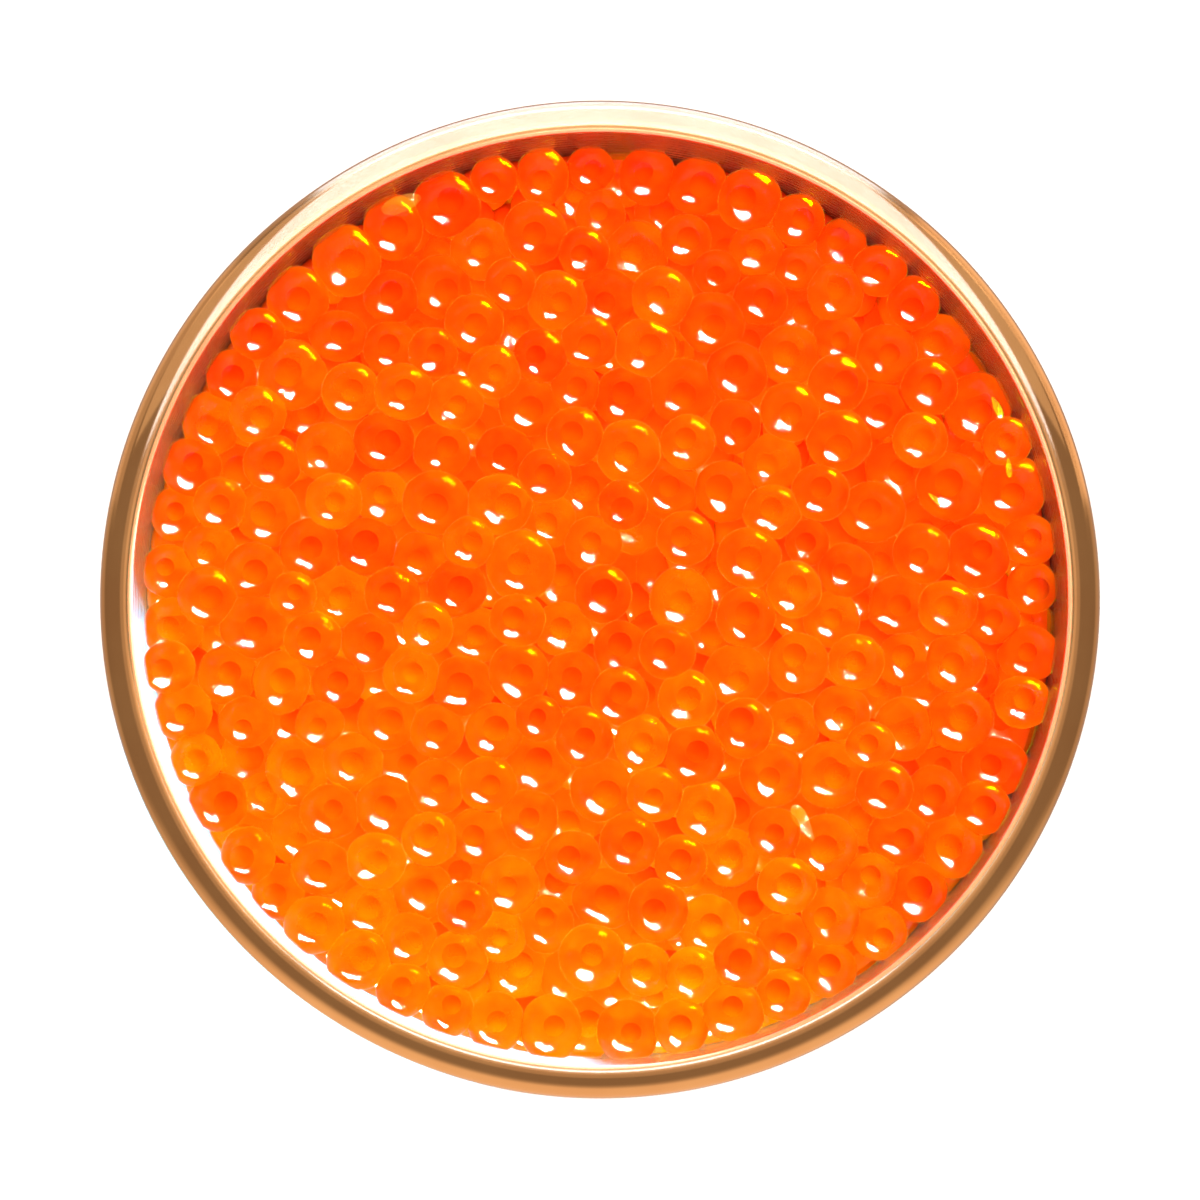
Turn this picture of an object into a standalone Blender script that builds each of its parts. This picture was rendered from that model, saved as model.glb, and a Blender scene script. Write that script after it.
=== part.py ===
"""Salmon roe filling a round tin with a rolled rim.

Metres, +Z up. The origin is on the tin's axis, at the bottom of its foot.
"""

import math

import bmesh
import bpy
import numpy as np
from mathutils import Euler, Matrix, Vector

# The tin
RIM_RADIUS = 0.0490
BEAD_RADIUS = 0.0016
TIN_HEIGHT = 0.0340
SHEET = 0.0005
FOOT_OUTER = 0.0440
FOOT_INNER = 0.0405
PANEL_LIFT = 0.0008
CORNER = 0.0015
CURL_END = math.radians(-120)
TURNED_SIDES = 60
BEAD_STEPS = 10
CORNER_STEPS = 2
MERGE = 0.00001
SHARP_ANGLE = math.radians(35)

# The roe: egg sizes are shares of EGG_RADIUS
EGG_RADIUS = 0.00285
EGG_SPREAD = 0.09
EGG_LEAST = 0.80
EGG_MOST = 1.20
ROE_TOP = 0.0288
BED_FLOOR = 0.0175
TOP_STAGGER = 0.0027
WALL_PRESS = 0.00025
EGG_COUNT = 450
RING_EGGS = 46
RING_DROP = 0.6
RING_STRAY = 0.6
SEED = 21

# How the eggs settle: PAIR_REACH is in egg radii, SINK and WALL_PULL in metres a step, and
# places are rounded to PLACE_DIGITS
SETTLE_STEPS = 420
PAIR_REFRESH = 12
PAIR_REACH = 2.6
SOFTNESS = 0.95
PUSH = 0.35
SINK = 0.00003
WALL_REACH = 0.0025
WALL_PULL = 0.00008
PLACE_DIGITS = 7
TINY = 1e-9

# The core, and the low-sided eggs fused to it
CORE_TOP = 0.0245
CORE_INSET = 0.0005
EGG_INSET = 0.0007
EGG_SIDES = 7
EGG_RINGS = 4
FACET_SCALE = 1.03
EGG_TILT = math.radians(25)
SHOWS_AT_LEAST = 0.14
MOST_FUSED = 320
FUSED_TRIANGLES = 9600
SIGHT_GRID = 480
GAP = 0.0003

WALL_INNER = RIM_RADIUS - 2 * BEAD_RADIUS
BEAD_CENTRE = RIM_RADIUS - BEAD_RADIUS


def clear_scene():
    for obj in list(bpy.data.objects):
        bpy.data.objects.remove(obj, do_unlink=True)


def new_collection(name):
    collection = bpy.data.collections.new(name)
    bpy.context.scene.collection.children.link(collection)
    return collection


def plain_material(name, colour, roughness, metallic):
    material = bpy.data.materials.new(name)
    material.use_nodes = True
    shader = material.node_tree.nodes["Principled BSDF"]
    shader.inputs["Base Color"].default_value = (*colour, 1.0)
    shader.inputs["Roughness"].default_value = roughness
    shader.inputs["Metallic"].default_value = metallic
    return material


def arc(centre, radius, start, end, steps):
    """Points of an arc in the XZ plane, both ends included."""
    turns = [start + (end - start) * i / steps for i in range(steps + 1)]
    return [(centre[0] + radius * math.cos(t), centre[1] + radius * math.sin(t)) for t in turns]


def turned(name, profile, collection):
    """A closed body turned about Z from a profile that runs from its top to its bottom."""
    mesh = bpy.data.meshes.new(name)
    shape = bmesh.new()
    points = [shape.verts.new((x, 0.0, z)) for x, z in profile]
    for upper, lower in zip(points, points[1:]):
        shape.edges.new((upper, lower))
    shape.to_mesh(mesh)
    shape.free()
    obj = bpy.data.objects.new(name, mesh)
    collection.objects.link(obj)
    screw = obj.modifiers.new("turn", "SCREW")
    screw.steps = TURNED_SIDES
    screw.render_steps = TURNED_SIDES
    screw.use_merge_vertices = True
    screw.merge_threshold = MERGE
    return obj


def tin_profile():
    """From the middle of the floor up the inside, over the rim and down to the middle of the base."""
    bead = (BEAD_CENTRE, TIN_HEIGHT - BEAD_RADIUS)
    wall_outer = WALL_INNER + SHEET
    floor = [
        (0.0, PANEL_LIFT + SHEET),
        (FOOT_INNER, PANEL_LIFT + SHEET),
        (FOOT_INNER + PANEL_LIFT, SHEET),
        (FOOT_OUTER, SHEET),
    ]
    inner_corner = (WALL_INNER - CORNER + SHEET, CORNER)
    outer_corner = (wall_outer - CORNER, CORNER)
    inside = arc(inner_corner, CORNER - SHEET, -math.pi / 2, 0.0, CORNER_STEPS)
    rim = arc(bead, BEAD_RADIUS, math.pi, CURL_END, BEAD_STEPS)
    tuck = [(wall_outer, rim[-1][1])]
    outside = arc(outer_corner, CORNER, 0.0, -math.pi / 2, CORNER_STEPS)
    base = [(FOOT_INNER, 0.0), (FOOT_INNER - PANEL_LIFT, PANEL_LIFT), (0.0, PANEL_LIFT)]
    return floor + inside + rim + tuck + outside + base


def core_profile():
    """The roe under its top layer of eggs, which fills the tin down to its floor."""
    side = WALL_INNER - CORE_INSET
    panel = PANEL_LIFT + SHEET + GAP
    groove = SHEET + GAP
    return [
        (0.0, CORE_TOP),
        (side, CORE_TOP),
        (side, CORNER + GAP),
        (FOOT_OUTER - GAP, groove),
        (FOOT_INNER + PANEL_LIFT + GAP, groove),
        (FOOT_INNER, panel),
        (0.0, panel),
    ]


def egg_sizes(rng):
    sizes = 1 + EGG_SPREAD * rng.standard_normal(EGG_COUNT)
    return EGG_RADIUS * np.clip(sizes, EGG_LEAST, EGG_MOST)


def near_pairs(centres):
    apart = np.sqrt(((centres[:, None, :] - centres[None, :, :]) ** 2).sum(2))
    return np.nonzero(np.triu(apart < PAIR_REACH * EGG_RADIUS, 1))


def settled_eggs():
    """Centres and radii of the eggs in the upper bed: soft balls that push apart and sink.

    The first ones start side by side along the wall, which draws those near it.
    """
    rng = np.random.default_rng(SEED)
    radii = egg_sizes(rng)
    reach_out = WALL_INNER + WALL_PRESS - radii
    turn = rng.uniform(0, 2 * np.pi, EGG_COUNT)
    out = reach_out * np.sqrt(rng.uniform(0, 1, EGG_COUNT))
    ceiling = ROE_TOP - TOP_STAGGER * rng.uniform(0, 1, EGG_COUNT)
    height = rng.uniform(BED_FLOOR + EGG_RADIUS, ROE_TOP - EGG_RADIUS, EGG_COUNT)
    stray = RING_STRAY * turn[:RING_EGGS] / (2 * np.pi)
    turn[:RING_EGGS] = (np.arange(RING_EGGS) + stray) / RING_EGGS * 2 * np.pi
    out[:RING_EGGS] = reach_out[:RING_EGGS]
    height[:RING_EGGS] = ROE_TOP - RING_DROP * TOP_STAGGER - radii[:RING_EGGS]
    centres = np.stack([out * np.cos(turn), out * np.sin(turn), height], 1)
    for step in range(SETTLE_STEPS):
        if step % PAIR_REFRESH == 0:
            one, other = near_pairs(centres)
            reach = SOFTNESS * (radii[one] + radii[other])
        between = centres[one] - centres[other]
        apart = np.sqrt((between**2).sum(1)) + TINY
        push = between * (PUSH * np.clip(reach - apart, 0, None) / apart)[:, None]
        for axis in range(3):
            centres[:, axis] += np.bincount(one, push[:, axis], EGG_COUNT)
            centres[:, axis] -= np.bincount(other, push[:, axis], EGG_COUNT)
        centres[:, 2] -= SINK * (1 - step / SETTLE_STEPS)
        from_axis = np.hypot(centres[:, 0], centres[:, 1])
        drawn = from_axis + WALL_PULL * (reach_out - from_axis < WALL_REACH)
        centres[:, :2] *= (np.minimum(drawn, reach_out) / from_axis)[:, None]
        centres[:, 2] = np.clip(centres[:, 2], BED_FLOOR + radii, ceiling - radii)
        centres = np.round(centres, PLACE_DIGITS)
    return centres, radii


def shown_share(centres, radii):
    """The share of each egg's disc that shows from straight above."""
    ticks = np.linspace(-WALL_INNER, WALL_INNER, SIGHT_GRID)
    cell = (ticks[1] - ticks[0]) ** 2
    across, along = np.meshgrid(ticks, ticks)
    height = np.zeros_like(across)
    owner = np.full(across.shape, -1)
    for i, (centre, radius) in enumerate(zip(centres, radii)):
        square = radius**2 - (across - centre[0]) ** 2 - (along - centre[1]) ** 2
        top = np.where(square > 0, centre[2] + np.sqrt(np.maximum(square, 0)), 0)
        above = top > height
        height[above] = top[above]
        owner[above] = i
    seen = np.bincount(owner[owner >= 0], minlength=len(radii))
    return seen * cell / (np.pi * radii**2)


def low_sided_egg(index, centre, radius, turn, collection):
    """One egg to fuse. An egg that presses on the wall is moved in, clear of it."""
    mesh = bpy.data.meshes.new(f"egg_{index}")
    shape = bmesh.new()
    size = radius * FACET_SCALE
    bmesh.ops.create_uvsphere(shape, u_segments=EGG_SIDES, v_segments=EGG_RINGS, radius=size)
    room = WALL_INNER - EGG_INSET - size
    from_axis = math.hypot(centre[0], centre[1])
    inward = min(1.0, room / from_axis)
    place = Vector((centre[0] * inward, centre[1] * inward, centre[2]))
    shape.transform(Matrix.Translation(place) @ turn.to_matrix().to_4x4())
    shape.to_mesh(mesh)
    shape.free()
    obj = bpy.data.objects.new(mesh.name, mesh)
    obj.hide_render = True
    obj.display_type = "WIRE"
    collection.objects.link(obj)


def applied(obj):
    """The object's mesh with its modifiers applied to it."""
    graph = bpy.context.evaluated_depsgraph_get()
    mesh = bpy.data.meshes.new_from_object(obj.evaluated_get(graph))
    obj.modifiers.clear()
    obj.data = mesh
    return mesh


def thinned(obj):
    """Takes out the smallest of the triangles that fusing leaves where eggs meet."""
    obj.data.calc_loop_triangles()
    collapse = obj.modifiers.new("thin", "DECIMATE")
    collapse.decimate_type = "COLLAPSE"
    collapse.use_collapse_triangulate = True
    collapse.ratio = min(1.0, FUSED_TRIANGLES / len(obj.data.loop_triangles))
    return applied(obj)


def keep_outer_skin(mesh):
    """Fills the hollows that fusing sealed and drops loose scraps: only the largest skin stays."""
    shape = bmesh.new()
    shape.from_mesh(mesh)
    waiting = set(shape.faces)
    skins = []
    while waiting:
        front = [waiting.pop()]
        skin = list(front)
        while front:
            face = front.pop()
            beside = {other for edge in face.edges for other in edge.link_faces} & waiting
            waiting -= beside
            front.extend(beside)
            skin.extend(beside)
        skins.append(skin)
    skins.sort(key=len)
    scraps = [face for skin in skins[:-1] for face in skin]
    bmesh.ops.delete(shape, geom=scraps, context="FACES")
    shape.to_mesh(mesh)
    shape.free()


def build_tin(collection):
    tin = turned("tin", tin_profile(), collection)
    tin.data.materials.append(plain_material("gold_lacquer", (0.80, 0.46, 0.18), 0.22, 1.0))
    return tin


def build_roe(collection, helpers):
    centres, radii = settled_eggs()
    share = shown_share(centres, radii)
    largest_first = np.argsort(-share, kind="stable")[:MOST_FUSED]
    rng = np.random.default_rng(SEED + 1)
    for index in largest_first:
        tilt, lean, spin = rng.uniform(-1, 1, 3)
        turn = Euler((tilt * EGG_TILT, lean * EGG_TILT, spin * math.pi))
        if share[index] >= SHOWS_AT_LEAST:
            low_sided_egg(index, centres[index], radii[index], turn, helpers)
    roe = turned("roe", core_profile(), collection)
    applied(roe)
    union = roe.modifiers.new("fuse", "BOOLEAN")
    union.operation = "UNION"
    union.operand_type = "COLLECTION"
    union.collection = helpers
    union.solver = "EXACT"
    fused = applied(roe)
    for egg in list(helpers.objects):
        bpy.data.objects.remove(egg, do_unlink=True)
    bpy.data.collections.remove(helpers)
    keep_outer_skin(fused)
    skin = thinned(roe)
    skin.materials.clear()
    skin.materials.append(plain_material("roe_orange", (0.98, 0.12, 0.004), 0.12, 0.0))
    return roe


def main():
    clear_scene()
    bpy.context.scene.unit_settings.system = "METRIC"
    collection = new_collection("salmon_roe_tin")
    helpers = new_collection("eggs_to_fuse")
    stand = bpy.data.objects.new("stand_point", None)
    collection.objects.link(stand)
    for obj in (build_tin(collection), build_roe(collection, helpers)):
        obj.parent = stand
        obj.data.shade_smooth()
        obj.data.set_sharp_from_angle(angle=SHARP_ANGLE)


main()
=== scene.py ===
"""The looks of a round tin of salmon roe: its eggs, the gold tin, soft light and the camera.

Metres, +Z up. The eggs lie where the CAD solids have them, by the same settling rule.
"""

import math

import bmesh
import bpy
import numpy as np
from mathutils import Euler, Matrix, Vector


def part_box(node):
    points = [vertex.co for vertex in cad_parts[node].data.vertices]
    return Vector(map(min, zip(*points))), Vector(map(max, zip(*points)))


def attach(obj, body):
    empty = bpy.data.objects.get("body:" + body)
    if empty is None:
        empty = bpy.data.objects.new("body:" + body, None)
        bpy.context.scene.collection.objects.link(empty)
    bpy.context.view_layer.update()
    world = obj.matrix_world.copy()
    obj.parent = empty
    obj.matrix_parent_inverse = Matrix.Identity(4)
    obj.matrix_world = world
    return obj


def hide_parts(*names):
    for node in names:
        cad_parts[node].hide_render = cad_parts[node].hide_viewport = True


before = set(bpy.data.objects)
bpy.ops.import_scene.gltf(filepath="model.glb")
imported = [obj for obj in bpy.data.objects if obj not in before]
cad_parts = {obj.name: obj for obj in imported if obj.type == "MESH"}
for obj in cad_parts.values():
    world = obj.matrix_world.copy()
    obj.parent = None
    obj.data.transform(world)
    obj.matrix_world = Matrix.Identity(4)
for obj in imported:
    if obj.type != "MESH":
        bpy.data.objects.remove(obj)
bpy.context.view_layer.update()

# The tin
RIM_RADIUS = 0.0490
BEAD_RADIUS = 0.0016
BEAD_CENTRE = RIM_RADIUS - BEAD_RADIUS
WALL_INNER = RIM_RADIUS - 2 * BEAD_RADIUS
TIN_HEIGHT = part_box("tin")[1][2]
SHEET = 0.0005
FOOT_OUTER = 0.0440
FOOT_INNER = 0.0405
PANEL_LIFT = 0.0008
CORNER = 0.0015
CURL_END = math.radians(-120)
LINING_ENDS = math.radians(170)
SHARP_ANGLE = math.radians(35)
TIN_SIDES = 288
BEAD_STEPS = 40
CORNER_STEPS = 6
WALL_STEPS = 12

# The roe, and how its eggs settle, as in the CAD source
EGG_RADIUS = 0.00285
EGG_SPREAD = 0.09
EGG_LEAST = 0.80
EGG_MOST = 1.20
ROE_TOP = 0.0288
BED_FLOOR = 0.0175
TOP_STAGGER = 0.0027
WALL_PRESS = 0.00025
EGG_COUNT = 450
RING_EGGS = 46
RING_DROP = 0.6
RING_STRAY = 0.6
SEED = 21
SETTLE_STEPS = 420
PAIR_REFRESH = 12
PAIR_REACH = 2.6
SOFTNESS = 0.95
PUSH = 0.35
SINK = 0.00003
WALL_REACH = 0.0025
WALL_PULL = 0.00008
PLACE_DIGITS = 7
TINY = 1e-9
SIGHT_GRID = 480

# The looks of each egg: mostly shares of its radius, and how finely its balls are divided
LOOKS_SEED = 23
SHOWS_AT_LEAST = 0.22
SKIN_LEVEL = 4
DEEP_LEVEL = 3
YOLK_LEVEL = 3
SCRAP_LEVEL = 3
YOLK_LEAST = 0.34
YOLK_MOST = 0.46
YOLK_STRAY = 0.10
OVAL = 0.04
SWELL = 1.04
WAVES = 5
WAVE_HEIGHT = 0.008
WAVE_TURNS = 4.5
DENT_SOFTNESS = 0.02
FAR_PAST = 20
CONTACT_GAP = 0.00001
WALL_GAP = 0.00004
SKIN_PIECES = 3
UNDERSIDE = -0.15

# Eggs in the gaps lower down, which the CAD core stands for
FILL_TRIES = 9000
FILL_TOP = 0.0250
FILL_FLOOR = 0.0185
FILL_CLEAR = 0.62

# Loose skins on the eggs: the place of each, its length, width and thickness, and its turn and
# lean in degrees and its taper
CLEAR_SCRAPS = (
    ((0.0204, -0.0224), (0.0044, 0.0022, 0.0010), -60, 12, 0.85),
    ((-0.0199, 0.0396), (0.0042, 0.0020, 0.0007), 20, 30, 0.20),
)
YELLOW_SCRAPS = (
    ((0.0397, 0.0192), (0.0024, 0.0010, 0.0005), 115, -20, 0.50),
    ((0.0408, 0.0131), (0.0020, 0.0008, 0.0005), 95, -15, 0.50),
    ((0.0335, 0.0100), (0.0018, 0.0007, 0.0004), 140, 10, 0.60),
)
SCRAP_WRINKLE = 0.00016
SCRAP_FOLDS = (11.0, 7.0)

# Colour and cover of the loose skins
CLEAR_SCRAP_LOOK = ((1.0, 0.22, 0.02), 0.30)
YELLOW_SCRAP_LOOK = ((1.0, 0.6, 0.01), 0.8)

# The bed under the eggs
BED_TOP = 0.0210
BED_INSET = 0.0005
GAP = 0.0003
BED_SIDES = TIN_SIDES // 3

# The camera, as the photograph was taken
CAMERA_DISTANCE = 0.350
CAMERA_TILT = math.radians(3.5)
FRAME_PIXELS = 1200
RIM_PIXELS = 1002.0
SENSOR = 36.0
AIM_SHIFT = 0.0005

# Gloss, sheen and cover of the skins where they are open to the air, and where they aren't
OPEN_SKIN = (0.5, 0.5, 0.50)
CLOSED_SKIN = (0.0, 0.0, 1.0)
SKIN_ROUGHNESS = 0.012
EGG_IOR = 1.4
SHEEN_COLOUR = (1.0, 0.6, 0.15, 1.0)

# A skin's colour runs from red to yellow by its own tint and by the clouds in it
TINT_FIELD = "egg_tint"
TINT_SHARE = 0.6
CLOUD_SHARE = 1.5
CLOUD_SHIFT = -0.55
RED_SKIN = (1.0, 0.025, 0.001)
YELLOW_SKIN = (1.0, 0.069, 0.001)
RED_YOLK = (0.80, 0.012, 0.0)
ORANGE_YOLK = (1.0, 0.032, 0.0)
YELLOW_YOLK = (1.0, 0.060, 0.0)
RED_DEEP = (1.0, 0.032, 0.001)
YELLOW_DEEP = (1.0, 0.053, 0.001)
DARK_GOLD = (0.90, 0.37, 0.115)
BRIGHT_GOLD = (0.97, 0.42, 0.135)
DARK_LINING = (0.46, 0.32, 0.16)
BRIGHT_LINING = (0.54, 0.38, 0.20)

# Noise scales, for coordinates in metres, and the depth of the dimples and rings
SKIN_CLOUDS = 420.0
SKIN_DIMPLES = 2000.0
DEEP_CLOUDS = 300.0
SCRAP_DIMPLES = 1600.0
GOLD_CLOUDS = 90.0
LINING_CLOUDS = 120.0
LINING_RINGS = 260.0
NOISE_ROUGHNESS = 0.6
BUMP_DEPTH = 0.0001

# Lamps round the heap: the hour of the clock face that each stands at seen from above, degrees
# up, metres away, size, watts and colour
HEAP_TOP = (0.0, 0.0, ROE_TOP)
WHITE = (1.0, 1.0, 1.0)
YELLOW_GREEN = (0.4, 1.0, 0.05)
WINDOW = (6.8, 19, 0.6, (0.44, 0.105), 134.0, WHITE)
LOW_GLOW = (1.0, -20, 0.5, (0.40, 0.10), 3.8, YELLOW_GREEN)
HIGH_GLOW = (1.0, -42, 0.5, (0.40, 0.10), 7.6, YELLOW_GREEN)
CRESCENT = (1.0, -8, 0.5, (0.26, 0.13), 11.0, (1.0, 0.75, 0.0))
WALL_LIGHT = (1.0, 30, 0.5, (0.3, 0.3), 22.0, WHITE)

# Lamps near the rim that make the eggs yellower at the front and left: name, place and watts
SIDE_LIGHTS = (
    ("front_light", (0.006, -0.074, 0.043), 0.16),
    ("left_light", (-0.072, -0.028, 0.043), 0.115),
)
SIDE_LIGHT_SIZE = (0.04, 0.04)
SIDE_LIGHT_COLOUR = (0.1, 1.0, 0.02)

# Lamps that only the tin reflects: name, shape, place, which way each faces, size, and how
# brightly it glows in red, green and blue
UP = (0, 0, 1)
DOWN = (0, 0, -1)
TO_FRONT = (0, -1, 0)
TO_LEFT = (-11, -7, 0)
TO_RIGHT = (11, -6, 0)
DISK_SHARE = math.pi / 4
TIN_LIGHTS = (
    ("under_rim", "DISK", (0.0, 0.0, 0.0318), UP, (0.090, 0.090), (0.0, 1.15, 1.57)),
    ("over_roe", "DISK", (0.0, 0.0, 0.052), DOWN, (0.072, 0.072), (0.20, 0.20, 0.20)),
    ("over_centre", "DISK", (0.0, 0.0, 0.052), DOWN, (0.040, 0.040), (0.25, 0.25, 0.25)),
    ("over_top", "RECTANGLE", (0.0, 0.053, 0.046), DOWN, (0.108, 0.070), (0.35, 0.38, 0.40)),
    ("over_rim", "RECTANGLE", (0.0, 0.046, 0.046), DOWN, (0.070, 0.068), (0.8, 1.7, 4.6)),
    ("behind_rim", "RECTANGLE", (0.0, 0.120, 0.040), TO_FRONT, (0.160, 0.100), (0.8, 1.9, 5.0)),
    ("right_of_rim", "RECTANGLE", (0.110, 0.070, 0.040), TO_LEFT, (0.090, 0.110), (0.6, 0.6, 0.6)),
    ("left_of_rim", "RECTANGLE", (-0.110, 0.060, 0.040), TO_RIGHT, (0.070, 0.110), (0.25, 0.25, 0.25)),
    ("wall_glare", "DISK", (-0.024, -0.024, 0.018), UP, (0.062, 0.062), (0.5, 2.0, 3.6)),
)

# The tent that the tin reflects: greys by height, at the sides and in front
TENT_RADIUS = 1.5
TENT_LEVEL = 4
TENT_SIDES = ((0.00, 0.50), (0.48, 0.45), (0.60, 0.25), (1.00, 0.27))
TENT_FRONT = ((0.00, 0.95), (0.50, 0.92), (0.86, 0.88), (0.98, 0.45))
TENT_FRONT_ENDS = ((0.12, 1.0), (0.36, 0.0))

WORLD_COLOUR = (1.0, 0.85, 0.80, 1.0)
WORLD_STRENGTH = 2.1
FLOOR_REACH = 2.0
FLOOR_COLOUR = (0.95, 0.95, 0.95, 1.0)
SEE_THROUGH_BOUNCES = 6
LIGHT_BOUNCES = 2


def new_object(name, mesh):
    obj = bpy.data.objects.new(name, mesh)
    bpy.context.scene.collection.objects.link(obj)
    return obj


def mesh_object(name, points, faces, material):
    """A smooth mesh from arrays of points and of faces with equal numbers of corners."""
    mesh = bpy.data.meshes.new(name)
    sides = faces.shape[1]
    mesh.vertices.add(len(points))
    mesh.vertices.foreach_set("co", np.asarray(points, np.float32).ravel())
    mesh.loops.add(faces.size)
    mesh.loops.foreach_set("vertex_index", faces.astype(np.int32).ravel())
    mesh.polygons.add(len(faces))
    starts = np.arange(0, faces.size, sides, dtype=np.int32)
    mesh.polygons.foreach_set("loop_start", starts)
    mesh.update(calc_edges=True)
    mesh.shade_smooth()
    mesh.materials.append(material)
    return new_object(name, mesh)


def number_field(obj, name, values):
    field = obj.data.attributes.new(name, "FLOAT", "POINT")
    field.data.foreach_set("value", np.asarray(values, np.float32))


def arc(centre, radius, start, end, steps):
    """Points of an arc in the XZ plane, both ends included."""
    turns = [start + (end - start) * i / steps for i in range(steps + 1)]
    return [(centre[0] + radius * math.cos(t), centre[1] + radius * math.sin(t)) for t in turns]


# Where the eggs lie


def egg_sizes(rng):
    sizes = 1 + EGG_SPREAD * rng.standard_normal(EGG_COUNT)
    return EGG_RADIUS * np.clip(sizes, EGG_LEAST, EGG_MOST)


def near_pairs(centres):
    apart = np.sqrt(((centres[:, None, :] - centres[None, :, :]) ** 2).sum(2))
    return np.nonzero(np.triu(apart < PAIR_REACH * EGG_RADIUS, 1))


def settled_eggs():
    """Centres and radii of the eggs in the upper bed: soft balls that push apart and sink.

    The first ones start side by side along the wall, which draws those near it.
    """
    rng = np.random.default_rng(SEED)
    radii = egg_sizes(rng)
    reach_out = WALL_INNER + WALL_PRESS - radii
    turn = rng.uniform(0, 2 * np.pi, EGG_COUNT)
    out = reach_out * np.sqrt(rng.uniform(0, 1, EGG_COUNT))
    ceiling = ROE_TOP - TOP_STAGGER * rng.uniform(0, 1, EGG_COUNT)
    height = rng.uniform(BED_FLOOR + EGG_RADIUS, ROE_TOP - EGG_RADIUS, EGG_COUNT)
    stray = RING_STRAY * turn[:RING_EGGS] / (2 * np.pi)
    turn[:RING_EGGS] = (np.arange(RING_EGGS) + stray) / RING_EGGS * 2 * np.pi
    out[:RING_EGGS] = reach_out[:RING_EGGS]
    height[:RING_EGGS] = ROE_TOP - RING_DROP * TOP_STAGGER - radii[:RING_EGGS]
    centres = np.stack([out * np.cos(turn), out * np.sin(turn), height], 1)
    for step in range(SETTLE_STEPS):
        if step % PAIR_REFRESH == 0:
            one, other = near_pairs(centres)
            reach = SOFTNESS * (radii[one] + radii[other])
        between = centres[one] - centres[other]
        apart = np.sqrt((between**2).sum(1)) + TINY
        push = between * (PUSH * np.clip(reach - apart, 0, None) / apart)[:, None]
        for axis in range(3):
            centres[:, axis] += np.bincount(one, push[:, axis], EGG_COUNT)
            centres[:, axis] -= np.bincount(other, push[:, axis], EGG_COUNT)
        centres[:, 2] -= SINK * (1 - step / SETTLE_STEPS)
        from_axis = np.hypot(centres[:, 0], centres[:, 1])
        drawn = from_axis + WALL_PULL * (reach_out - from_axis < WALL_REACH)
        centres[:, :2] *= (np.minimum(drawn, reach_out) / from_axis)[:, None]
        centres[:, 2] = np.clip(centres[:, 2], BED_FLOOR + radii, ceiling - radii)
        centres = np.round(centres, PLACE_DIGITS)
    return centres, radii


def with_filling(centres, radii, rng):
    """The settled eggs with smaller ones in the gaps that are left lower down."""
    for _ in range(FILL_TRIES):
        radius = EGG_RADIUS * rng.uniform(EGG_LEAST, 1.0)
        turn = rng.uniform(0, 2 * np.pi)
        out = (WALL_INNER - radius) * math.sqrt(rng.uniform())
        height = rng.uniform(FILL_FLOOR, FILL_TOP - radius)
        place = np.array([out * math.cos(turn), out * math.sin(turn), height])
        apart = np.sqrt(((centres - place) ** 2).sum(1))
        if np.all(apart > FILL_CLEAR * (radii + radius)):
            centres = np.vstack([centres, place])
            radii = np.append(radii, radius)
    return centres, radii


def shown_share(centres, radii):
    """The share of each egg's disc that shows from straight above."""
    ticks = np.linspace(-WALL_INNER, WALL_INNER, SIGHT_GRID)
    cell = (ticks[1] - ticks[0]) ** 2
    across, along = np.meshgrid(ticks, ticks)
    height = np.zeros_like(across)
    owner = np.full(across.shape, -1)
    for i, (centre, radius) in enumerate(zip(centres, radii)):
        square = radius**2 - (across - centre[0]) ** 2 - (along - centre[1]) ** 2
        top = np.where(square > 0, centre[2] + np.sqrt(np.maximum(square, 0)), 0)
        above = top > height
        height[above] = top[above]
        owner[above] = i
    seen = np.bincount(owner[owner >= 0], minlength=len(radii))
    return seen * cell / (np.pi * radii**2)


# What an egg is made of


def unit_ball(level):
    ball = bmesh.new()
    bmesh.ops.create_icosphere(ball, subdivisions=level, radius=1.0)
    points = np.array([point.co[:] for point in ball.verts])
    faces = np.array([[point.index for point in face.verts] for face in ball.faces])
    ball.free()
    return points, faces


def past_plane(reach, limit, soft):
    """How far points lie past a plane, rounded off where they meet it.

    Far past it the distance is taken as it is, which keeps the powers small.
    """
    over = (reach - limit) / soft
    rounded = np.log1p(np.exp(np.minimum(over, FAR_PAST)))
    return soft * np.where(over > FAR_PAST, over, rounded)


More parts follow.
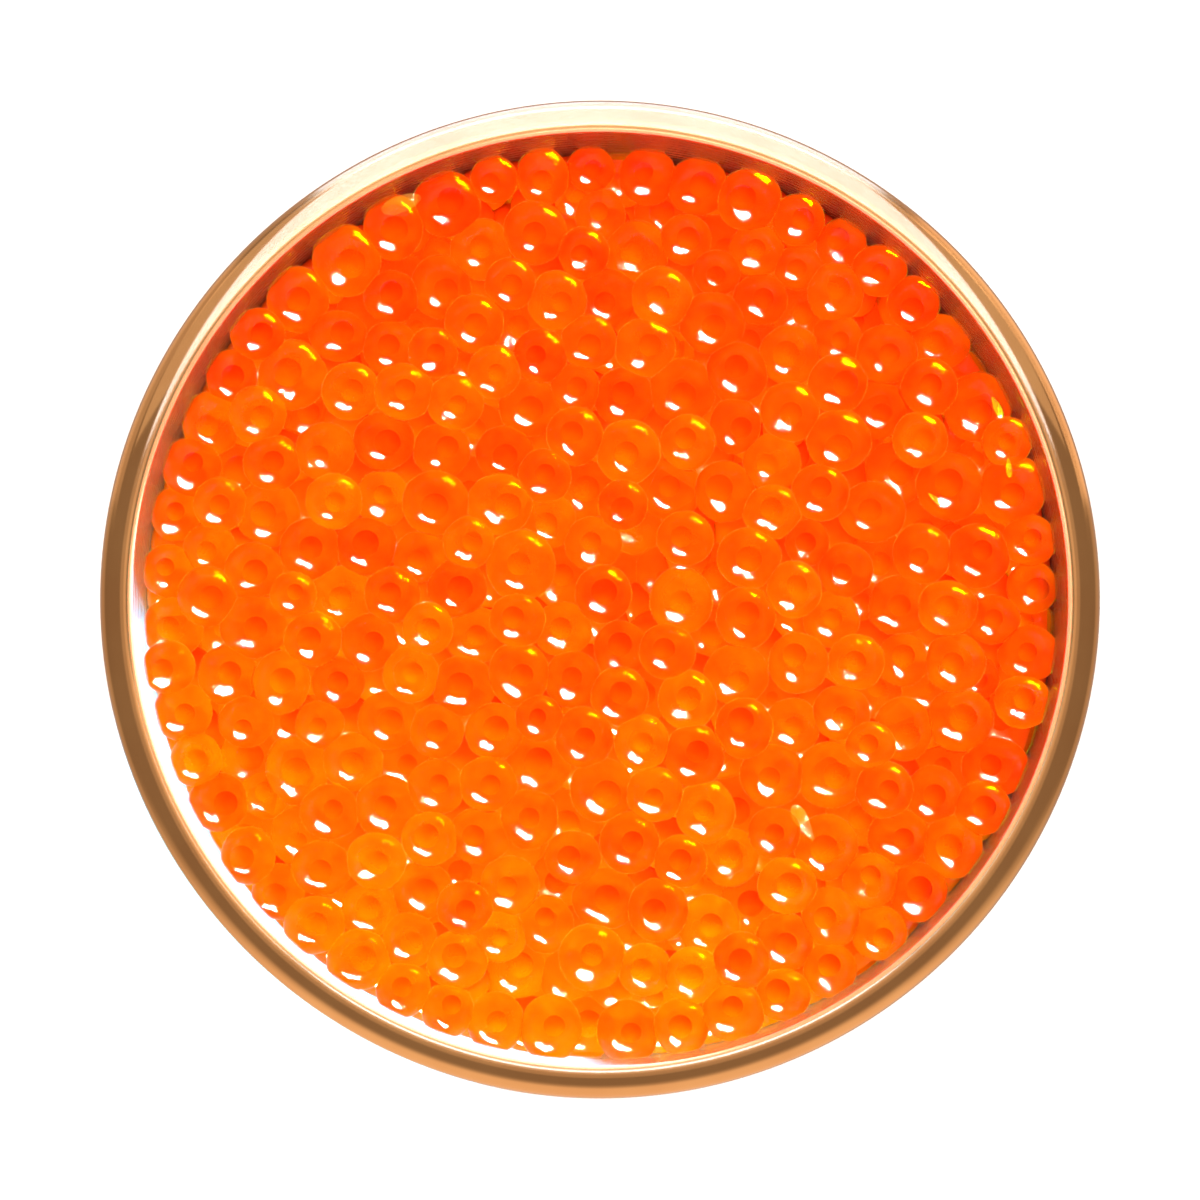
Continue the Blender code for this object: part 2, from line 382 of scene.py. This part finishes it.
class Egg:
    """One egg: its own oval, flat where it presses on its neighbours and on the wall."""

    def __init__(self, index, centres, radii, rng):
        self.centre = centres[index]
        self.radius = radii[index]
        self.oval = self.radius * (1 + OVAL * rng.standard_normal(3))
        self.tint = rng.uniform()
        self.wave_ways = rng.normal(0, WAVE_TURNS, (WAVES, 3))
        self.wave_starts = rng.uniform(0, 2 * np.pi, WAVES)
        self.yolk = self.radius * rng.uniform(YOLK_LEAST, YOLK_MOST)
        self.yolk_place = self.centre + rng.normal(0, YOLK_STRAY, 3) * self.radius
        away = centres - self.centre
        apart = np.sqrt((away**2).sum(1))
        self.contacts = []
        for other in np.nonzero((apart < SWELL * (self.radius + radii)) & (apart > TINY))[0]:
            plane = (apart[other] ** 2 + self.radius**2 - radii[other] ** 2) / (2 * apart[other])
            self.contacts.append((away[other] / apart[other], plane - CONTACT_GAP))

    def wet(self, middles, centres, radii):
        """Which faces are open to the air: no other egg lies over them."""
        places = middles * self.radius + self.centre
        open_air = middles[:, 2] > UNDERSIDE
        beside = np.hypot(*(centres - self.centre)[:, :2].T) < self.radius + radii
        for centre, radius in zip(centres[beside], radii[beside]):
            if np.allclose(centre, self.centre):
                continue
            square = radius**2 - ((places - centre)[:, :2] ** 2).sum(1)
            over = centre[2] + np.sqrt(np.maximum(square, 0)) > places[:, 2]
            open_air &= ~((square > 0) & over)
        return open_air

    def skin(self, ball):
        waves = np.sin(ball @ self.wave_ways.T + self.wave_starts).sum(1)
        points = ball * self.oval * (SWELL + WAVE_HEIGHT * waves)[:, None]
        for outward, limit in self.contacts:
            over = past_plane(points @ outward, limit, DENT_SOFTNESS * self.radius)
            points -= np.outer(over, outward)
        points = points + self.centre
        out = np.hypot(points[:, 0], points[:, 1])
        points[:, :2] *= np.minimum(1, (WALL_INNER - WALL_GAP) / out)[:, None]
        return points


def joined_balls(name, ball, shapes, tints, materials, dry=None):
    """One mesh of many balls, each with its own tint from 0 to 1, wet where not dry."""
    points, faces = ball
    many = np.concatenate([faces + i * len(points) for i in range(len(shapes))])
    obj = mesh_object(name, np.concatenate(shapes), many, materials[0])
    number_field(obj, TINT_FIELD, np.repeat(tints, len(points)))
    if dry is not None:
        obj.data.materials.append(materials[1])
        obj.data.polygons.foreach_set("material_index", np.concatenate(dry).astype(np.int32))
    return obj


def build_eggs(centres, radii, rng):
    """The eggs that show, each a milky skin round a small dark yolk, and those below them."""
    share = shown_share(centres, radii)
    eggs = [Egg(i, centres, radii, rng) for i in range(len(radii))]
    shown = [egg for egg, part in zip(eggs, share) if part >= SHOWS_AT_LEAST]
    shown.sort(key=lambda egg: egg.centre[2] + egg.radius)
    hidden = [egg for egg, part in zip(eggs, share) if part < SHOWS_AT_LEAST]
    tints = np.array([egg.tint for egg in shown])
    skin_ball = unit_ball(SKIN_LEVEL)
    deep_ball = unit_ball(DEEP_LEVEL)
    yolk_ball = unit_ball(YOLK_LEVEL)
    skin_looks = [
        skin_material("egg_skin", *OPEN_SKIN),
        skin_material("egg_skin_inside", *CLOSED_SKIN),
    ]
    middles = [ball[0][ball[1]].mean(axis=1) for ball in (skin_ball, deep_ball)]
    skins = []
    for k, batch in enumerate(np.array_split(np.arange(len(shown)), SKIN_PIECES)):
        shapes = [shown[i].skin(skin_ball[0]) for i in batch]
        dry = [~shown[i].wet(middles[0], centres, radii) for i in batch]
        name = f"roe_skins_{k + 1}"
        skins.append(joined_balls(name, skin_ball, shapes, tints[batch], skin_looks, dry))
    for skin in skins:
        skin.visible_shadow = False
        skin.visible_diffuse = False
    shapes = [yolk_ball[0] * egg.yolk + egg.yolk_place for egg in shown]
    yolks = joined_balls("roe_yolks", yolk_ball, shapes, tints, [yolk_material()])
    shapes = [egg.skin(deep_ball[0]) for egg in hidden]
    deep_tints = np.array([egg.tint for egg in hidden])
    dry = [~egg.wet(middles[1], centres, radii) for egg in hidden]
    deep_looks = [
        deep_material("egg_deep", OPEN_SKIN[0]),
        deep_material("egg_deep_inside", CLOSED_SKIN[0]),
    ]
    deep = joined_balls("roe_lower_eggs", deep_ball, shapes, deep_tints, deep_looks, dry)
    return [*skins, yolks, deep]


def scrap(ball, place, size, turn, lean, taper, centres, radii):
    """A flat, wrinkled drop of loose skin that lies on the eggs, narrower towards its tail."""
    points = ball * size / 2
    points[:, 1] *= 1 - taper * (ball[:, 0] + 1) / 2
    points[:, 2] += SCRAP_WRINKLE * np.sin(ball[:, :2] @ SCRAP_FOLDS)
    points = points @ np.array(Euler((math.radians(lean), 0, math.radians(turn))).to_matrix()).T
    square = radii**2 - ((centres[:, :2] - place) ** 2).sum(1)
    height = np.max(np.where(square > 0, centres[:, 2] + np.sqrt(np.maximum(square, 0)), 0))
    return points + np.array([*place, height])


def build_scraps(name, scraps, material, centres, radii):
    ball = unit_ball(SCRAP_LEVEL)
    shapes = [scrap(ball[0], *row, centres, radii) for row in scraps]
    return joined_balls(name, ball, shapes, np.zeros(len(shapes)), [material])


def turned(name, profile, sides, materials, slot_of):
    """A closed body turned about Z from a profile that runs down its outer side."""
    rings = np.array(profile[1:-1])
    turn = np.arange(sides) / sides * 2 * np.pi
    flat = np.stack([np.outer(rings[:, 0], np.cos(turn)), np.outer(rings[:, 0], np.sin(turn))], 2)
    high = np.broadcast_to(rings[:, 1, None, None], (len(rings), sides, 1))
    points = np.concatenate([flat, high], 2).reshape(-1, 3)
    shape = bmesh.new()
    verts = [shape.verts.new(point) for point in points]
    first = shape.verts.new((0.0, 0.0, profile[0][1]))
    last = shape.verts.new((0.0, 0.0, profile[-1][1]))
    for ring in range(len(rings) - 1):
        for side in range(sides):
            after = (side + 1) % sides
            low = (ring + 1) * sides
            face = shape.faces.new((
                verts[ring * sides + side],
                verts[low + side],
                verts[low + after],
                verts[ring * sides + after],
            ))
            face.material_index = slot_of(ring + 1)
    for side in range(sides):
        after = (side + 1) % sides
        face = shape.faces.new((first, verts[side], verts[after]))
        face.material_index = slot_of(0)
        end = (len(rings) - 1) * sides
        face = shape.faces.new((last, verts[end + after], verts[end + side]))
        face.material_index = slot_of(len(rings))
    mesh = bpy.data.meshes.new(name)
    shape.to_mesh(mesh)
    shape.free()
    mesh.shade_smooth()
    mesh.set_sharp_from_angle(angle=SHARP_ANGLE)
    for material in materials:
        mesh.materials.append(material)
    return new_object(name, mesh)


def build_bed():
    """The roe under the eggs that show, down to the tin's floor."""
    side = WALL_INNER - BED_INSET
    raised = PANEL_LIFT + SHEET + GAP
    groove = SHEET + GAP
    profile = [
        (0.0, BED_TOP),
        (side, BED_TOP),
        (side, CORNER + GAP),
        (FOOT_OUTER - GAP, groove),
        (FOOT_INNER + PANEL_LIFT + GAP, groove),
        (FOOT_INNER, raised),
        (0.0, raised),
    ]
    looks = [deep_material("egg_bed", CLOSED_SKIN[0])]
    return turned("roe_bed", profile, BED_SIDES, looks, lambda ring: 0)


def build_tin():
    """The tin, gold outside and over the bead, with a duller lacquer on the wall inside."""
    bead = (BEAD_CENTRE, TIN_HEIGHT - BEAD_RADIUS)
    wall_outer = WALL_INNER + SHEET
    floor = [
        (0.0, PANEL_LIFT + SHEET),
        (FOOT_INNER, PANEL_LIFT + SHEET),
        (FOOT_INNER + PANEL_LIFT, SHEET),
        (FOOT_OUTER, SHEET),
    ]
    inner_corner = (WALL_INNER - CORNER + SHEET, CORNER)
    outer_corner = (wall_outer - CORNER, CORNER)
    inside = arc(inner_corner, CORNER - SHEET, -math.pi / 2, 0.0, CORNER_STEPS)
    climb = (bead[1] - CORNER) / WALL_STEPS
    wall = [(WALL_INNER, CORNER + i * climb) for i in range(1, WALL_STEPS)]
    rim = arc(bead, BEAD_RADIUS, math.pi, CURL_END, BEAD_STEPS)
    tuck = [(wall_outer, rim[-1][1])]
    outside = arc(outer_corner, CORNER, 0.0, -math.pi / 2, CORNER_STEPS)
    base = [(FOOT_INNER, 0.0), (FOOT_INNER - PANEL_LIFT, PANEL_LIFT), (0.0, PANEL_LIFT)]
    lined = floor + inside + wall
    turn_per_step = (math.pi - CURL_END) / BEAD_STEPS
    lined_rings = len(lined) + round((math.pi - LINING_ENDS) / turn_per_step)
    profile = lined + rim + tuck + outside + base
    materials = [gold_material(), lining_material()]
    return turned("tin_body", profile, TIN_SIDES, materials, lambda ring: int(ring < lined_rings))


# Materials


def new_material(name):
    material = bpy.data.materials.new(name)
    material.use_nodes = True
    return material, material.node_tree, material.node_tree.nodes["Principled BSDF"]


def set_inputs(node, **values):
    for name, value in values.items():
        node.inputs[name.replace("_", " ")].default_value = value


def colour_ramp(tree, factor, stops):
    ramp = tree.nodes.new("ShaderNodeValToRGB")
    while len(ramp.color_ramp.elements) < len(stops):
        ramp.color_ramp.elements.new(0.5)
    for element, (place, colour) in zip(ramp.color_ramp.elements, stops):
        element.position = place
        element.color = (*colour, 1.0)
    tree.links.new(factor, ramp.inputs["Fac"])
    return ramp.outputs["Color"]


def math_node(tree, operation, *values):
    made = tree.nodes.new("ShaderNodeMath")
    made.operation = operation
    for socket, value in zip(made.inputs, values):
        if isinstance(value, bpy.types.NodeSocket):
            tree.links.new(value, socket)
        else:
            socket.default_value = value
    return made.outputs[0]


def own_tint(tree):
    tint = tree.nodes.new("ShaderNodeAttribute")
    tint.attribute_name = TINT_FIELD
    return tint.outputs["Fac"]


def object_noise(tree, scale, detail):
    place = tree.nodes.new("ShaderNodeTexCoord")
    noise = tree.nodes.new("ShaderNodeTexNoise")
    set_inputs(noise, Scale=scale, Detail=detail, Roughness=NOISE_ROUGHNESS)
    tree.links.new(place.outputs["Object"], noise.inputs["Vector"])
    return noise.outputs["Fac"]


def add_bump(tree, shader, height, strength):
    bump = tree.nodes.new("ShaderNodeBump")
    set_inputs(bump, Strength=strength, Distance=BUMP_DEPTH)
    tree.links.new(height, bump.inputs["Height"])
    tree.links.new(bump.outputs[0], shader.inputs["Normal"])


def skin_material(name, gloss, sheen, cover):
    """Milky skin, wet and half clear where it is open to the air."""
    material, tree, shader = new_material(name)
    shift = math_node(tree, "MULTIPLY_ADD", own_tint(tree), TINT_SHARE, CLOUD_SHIFT)
    noise = object_noise(tree, SKIN_CLOUDS, detail=3.0)
    cloud = math_node(tree, "MULTIPLY_ADD", noise, CLOUD_SHARE, shift)
    colour = colour_ramp(tree, cloud, [(0.0, RED_SKIN), (1.0, YELLOW_SKIN)])
    tree.links.new(colour, shader.inputs["Base Color"])
    add_bump(tree, shader, object_noise(tree, SKIN_DIMPLES, detail=3.0), strength=0.5)
    set_inputs(shader, Roughness=SKIN_ROUGHNESS, IOR=EGG_IOR, Alpha=cover, Specular_IOR_Level=gloss)
    set_inputs(shader, Sheen_Weight=sheen, Sheen_Roughness=0.15, Sheen_Tint=SHEEN_COLOUR)
    return material


def yolk_material():
    material, tree, shader = new_material("egg_yolk")
    stops = [(0.0, RED_YOLK), (0.4, ORANGE_YOLK), (1.0, YELLOW_YOLK)]
    colour = colour_ramp(tree, own_tint(tree), stops)
    tree.links.new(colour, shader.inputs["Base Color"])
    set_inputs(shader, Roughness=0.8, Specular_IOR_Level=0.0)
    return material


def deep_material(name, gloss):
    material, tree, shader = new_material(name)
    noise = object_noise(tree, DEEP_CLOUDS, detail=2.0)
    colour = colour_ramp(tree, noise, [(0.3, RED_DEEP), (0.7, YELLOW_DEEP)])
    tree.links.new(colour, shader.inputs["Base Color"])
    set_inputs(shader, Roughness=SKIN_ROUGHNESS, IOR=EGG_IOR, Specular_IOR_Level=gloss)
    return material


def scrap_material(name, colour, cover):
    material, tree, shader = new_material(name)
    add_bump(tree, shader, object_noise(tree, SCRAP_DIMPLES, detail=4.0), strength=0.8)
    set_inputs(shader, Base_Color=(*colour, 1.0), Alpha=cover)
    set_inputs(shader, Roughness=0.03, IOR=EGG_IOR, Specular_IOR_Level=1.0)
    return material


def gold_material():
    material, tree, shader = new_material("gold_lacquer")
    noise = object_noise(tree, GOLD_CLOUDS, detail=3.0)
    colour = colour_ramp(tree, noise, [(0.35, DARK_GOLD), (0.65, BRIGHT_GOLD)])
    tree.links.new(colour, shader.inputs["Base Color"])
    set_inputs(shader, Metallic=1.0, Roughness=0.17, Coat_Weight=0.2, Coat_Roughness=0.08)
    return material


def lining_material():
    """Dull lacquered metal with faint rings round the wall."""
    material, tree, shader = new_material("pale_lining")
    noise = object_noise(tree, LINING_CLOUDS, detail=3.0)
    colour = colour_ramp(tree, noise, [(0.35, DARK_LINING), (0.65, BRIGHT_LINING)])
    tree.links.new(colour, shader.inputs["Base Color"])
    place = tree.nodes.new("ShaderNodeTexCoord")
    rings = tree.nodes.new("ShaderNodeTexWave")
    rings.bands_direction = "Z"
    set_inputs(rings, Scale=LINING_RINGS, Distortion=1.5)
    tree.links.new(place.outputs["Object"], rings.inputs["Vector"])
    add_bump(tree, shader, rings.outputs["Fac"], strength=0.5)
    set_inputs(shader, Metallic=0.9, Roughness=0.15)
    return material


def floor_material():
    material, _, shader = new_material("floor")
    set_inputs(shader, Base_Color=FLOOR_COLOUR, Roughness=0.9)
    return material


def grey_ramp(tree, factor, stops):
    return colour_ramp(tree, factor, [(place, (grey, grey, grey)) for place, grey in stops])


def tent_material():
    material = bpy.data.materials.new("tent")
    material.use_nodes = True
    material.cycles.emission_sampling = "NONE"
    tree = material.node_tree
    tree.nodes.remove(tree.nodes["Principled BSDF"])
    place = tree.nodes.new("ShaderNodeTexCoord")
    split = tree.nodes.new("ShaderNodeSeparateXYZ")
    tree.links.new(place.outputs["Generated"], split.inputs[0])
    both = tree.nodes.new("ShaderNodeMixRGB")
    near_front = grey_ramp(tree, split.outputs["Y"], TENT_FRONT_ENDS)
    tree.links.new(near_front, both.inputs["Fac"])
    tree.links.new(grey_ramp(tree, split.outputs["Z"], TENT_SIDES), both.inputs["Color1"])
    tree.links.new(grey_ramp(tree, split.outputs["Z"], TENT_FRONT), both.inputs["Color2"])
    glow = tree.nodes.new("ShaderNodeEmission")
    tree.links.new(both.outputs[0], glow.inputs["Color"])
    tree.links.new(glow.outputs[0], tree.nodes["Material Output"].inputs["Surface"])
    return material


# Floor, light and camera


def build_floor():
    corners = FLOOR_REACH * np.array([(-1, -1, 0), (1, -1, 0), (1, 1, 0), (-1, 1, 0)], float)
    floor = mesh_object("floor", corners, np.array([[0, 1, 2, 3]]), floor_material())
    floor.visible_glossy = False


def direction(hour, elevation):
    """A unit vector towards an hour of the clock face seen from above, raised by degrees."""
    turn = math.radians(90 - 30 * hour)
    up = math.radians(elevation)
    return Vector((math.cos(turn) * math.cos(up), math.sin(turn) * math.cos(up), math.sin(up)))


def panel(name, place, facing, size, power, colour, shape="RECTANGLE"):
    """A lamp with a flat glowing face, which the camera doesn't see."""
    data = bpy.data.lights.new(name, "AREA")
    data.shape = shape
    data.size, data.size_y = size
    data.energy = power
    data.color = colour
    lamp = bpy.data.objects.new(name, data)
    lamp.location = place
    lamp.rotation_euler = Vector(facing).to_track_quat("-Z", "Y").to_euler()
    lamp.visible_camera = False
    bpy.context.scene.collection.objects.link(lamp)
    return lamp


def panel_round_heap(name, hour, elevation, away, size, power, colour):
    """A panel that stands some way from the heap and faces it."""
    to_lamp = away * direction(hour, elevation)
    return panel(name, Vector(HEAP_TOP) + to_lamp, -to_lamp, size, power, colour)


def lights_only(lamp, objects):
    """Only these objects catch the lamp's light and shade each other from it."""
    group = bpy.data.collections.new(lamp.name + "_lit")
    for obj in objects:
        group.objects.link(obj)
    lamp.light_linking.receiver_collection = group
    lamp.light_linking.blocker_collection = group


def shines_through(lamp, objects):
    """Only these objects catch the lamp's light, and nothing shades them from it."""
    lights_only(lamp, objects)
    shade = bpy.data.collections.new(lamp.name + "_shade")
    shade.objects.link(lamp)
    lamp.light_linking.blocker_collection = shade


def build_tent(tin):
    """The studio that the tin reflects: a ball round it, dimmer above and brightest in front."""
    points, faces = unit_ball(TENT_LEVEL)
    tent = mesh_object("tent", points * TENT_RADIUS, faces, tent_material())
    tent.visible_camera = False
    tent.visible_diffuse = False
    tent.visible_shadow = False
    lights_only(tent, [tin])


def build_roe_lights(roe):
    """What the eggs reflect, and yellow-green light in the milk of their skins."""
    skins = roe[:SKIN_PIECES]
    top_skins = skins[-1:]
    window = panel_round_heap("window", *WINDOW)
    window.data.cycles.max_bounces = 0
    window.visible_diffuse = False
    lights_only(window, roe)
    low_glow = panel_round_heap("low_glow", *LOW_GLOW)
    low_glow.visible_glossy = False
    shines_through(low_glow, skins)
    high_glow = panel_round_heap("high_glow", *HIGH_GLOW)
    high_glow.visible_glossy = False
    shines_through(high_glow, top_skins)
    crescent = panel_round_heap("crescent", *CRESCENT)
    crescent.visible_diffuse = False
    shines_through(crescent, top_skins)


def build_tin_lights(tin):
    """What the rim and the wall inside reflect, and soft light on the lining."""
    for name, shape, place, facing, size, glow in TIN_LIGHTS:
        area = size[0] * size[1] * (DISK_SHARE if shape == "DISK" else 1)
        brightest = max(glow)
        colour = [part / brightest for part in glow]
        lamp = panel(name, place, facing, size, math.pi * area * brightest, colour, shape)
        lamp.visible_diffuse = False
        lights_only(lamp, [tin])
    wall_light = panel_round_heap("wall_light", *WALL_LIGHT)
    wall_light.visible_glossy = False
    lights_only(wall_light, [tin])


def build_side_lights(roe):
    """Light that makes the eggs yellower at the front and at the left."""
    for name, place, power in SIDE_LIGHTS:
        facing = Vector(HEAP_TOP) - Vector(place)
        side = panel(name, place, facing, SIDE_LIGHT_SIZE, power, SIDE_LIGHT_COLOUR)
        side.visible_glossy = False
        shines_through(side, roe)


def build_world():
    """Even, slightly warm light from all round."""
    world = bpy.data.worlds.new("studio")
    bpy.context.scene.world = world
    world.use_nodes = True
    background = world.node_tree.nodes["Background"]
    set_inputs(background, Color=WORLD_COLOUR, Strength=WORLD_STRENGTH)


def build_camera():
    data = bpy.data.cameras.new("camera")
    data.sensor_width = SENSOR
    frame_width = 2 * RIM_RADIUS * FRAME_PIXELS / RIM_PIXELS
    data.lens = SENSOR * CAMERA_DISTANCE / frame_width
    camera = bpy.data.objects.new("camera", data)
    target = Vector((0.0, -AIM_SHIFT, TIN_HEIGHT - BEAD_RADIUS / 2))
    back = Vector((0, -math.sin(CAMERA_TILT), math.cos(CAMERA_TILT)))
    camera.location = target + CAMERA_DISTANCE * back
    camera.rotation_euler = (CAMERA_TILT, 0, 0)
    bpy.context.scene.collection.objects.link(camera)
    bpy.context.scene.camera = camera


bpy.context.scene.view_settings.view_transform = "Standard"
bpy.context.scene.cycles.transparent_max_bounces = SEE_THROUGH_BOUNCES
bpy.context.scene.cycles.max_bounces = LIGHT_BOUNCES
bpy.context.scene.cycles.use_light_tree = False
build_camera()
build_world()
build_floor()
tin = build_tin()
rng = np.random.default_rng(LOOKS_SEED)
centres, radii = with_filling(*settled_eggs(), rng)
clear_scrap = scrap_material("clear_skin", *CLEAR_SCRAP_LOOK)
yellow_scrap = scrap_material("yellow_skin", *YELLOW_SCRAP_LOOK)
roe = [
    *build_eggs(centres, radii, rng),
    build_bed(),
    build_scraps("roe_clear_skins", CLEAR_SCRAPS, clear_scrap, centres, radii),
    build_scraps("roe_yellow_skins", YELLOW_SCRAPS, yellow_scrap, centres, radii),
]
build_roe_lights(roe)
build_tent(tin)
build_tin_lights(tin)
build_side_lights(roe)
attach(tin, "root")
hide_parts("tin")
for piece in roe:
    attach(piece, "root")
    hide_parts("roe")
